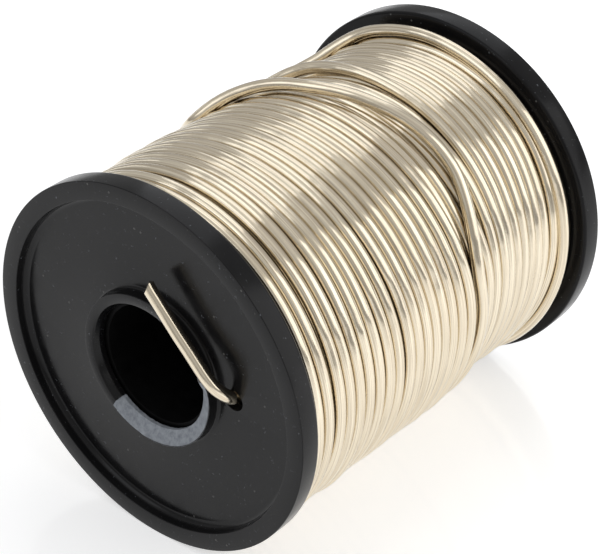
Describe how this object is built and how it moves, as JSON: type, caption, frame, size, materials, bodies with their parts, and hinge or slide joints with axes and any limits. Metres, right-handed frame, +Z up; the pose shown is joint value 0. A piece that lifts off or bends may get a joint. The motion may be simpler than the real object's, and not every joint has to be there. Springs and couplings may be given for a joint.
{
  "type": "solder wire spool",
  "caption": "Flanged plastic reel wound full with thick bare solder wire, its starting end led out through a hole in one flange, with an open bore for a spindle.",
  "frame": {"origin": "centre of the reel: on the bore's axis, half way between the flanges", "axes": "+Y along the bore's axis, away from the flange where the wire's starting end comes out; +Z up with the reel lying on its rims; +X across"},
  "size_m": [0.0571, 0.0707, 0.0581],
  "materials": {
    "flange": "black moulded plastic, semi-gloss",
    "hub": "black moulded plastic, dull inside the bore",
    "solder_wire": "bright drawn tin alloy, slightly warm"
  },
  "bodies": {
    "root": {"near_flange": "flange", "far_flange": "flange", "hub_tube": "hub", "wire_inner_layers": "solder_wire", "wire_outer_layer": "solder_wire", "wire_start_tail": "solder_wire"}
  },
  "joints": []
}
